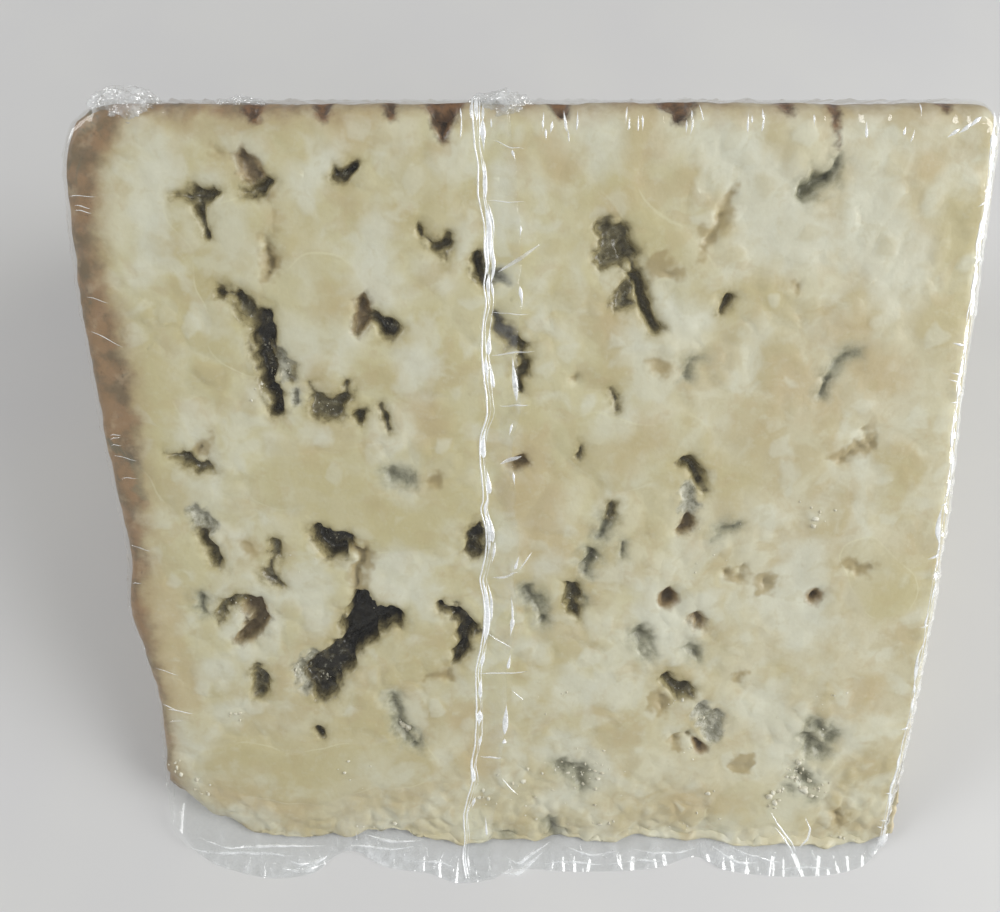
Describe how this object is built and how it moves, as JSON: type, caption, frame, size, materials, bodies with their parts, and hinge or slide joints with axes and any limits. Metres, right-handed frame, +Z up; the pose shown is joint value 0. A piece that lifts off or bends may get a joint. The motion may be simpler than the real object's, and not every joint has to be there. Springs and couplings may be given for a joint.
{
  "type": "blue cheese wedge in clear film",
  "caption": "Wedge of blue-veined cheese cut from a wheel and lying on one cut face, sealed in clear stretch film with a lapped seam along its upper face.",
  "frame": {"origin": "middle of the bounding box's underside, on the surface that the wedge lies on", "axes": "+X along the cheese wheel's axis, from the side with the darker rind to the pale side; +Y from the thin tip to the rind; +Z up"},
  "size_m": [0.1014, 0.102, 0.0629],
  "materials": {
    "paste": "moist ivory paste with blue-green mould in its openings and a thin brown rind",
    "film": "clear glossy stretch film"
  },
  "bodies": {
    "root": {"cheese_in_film": "paste"}
  },
  "joints": []
}
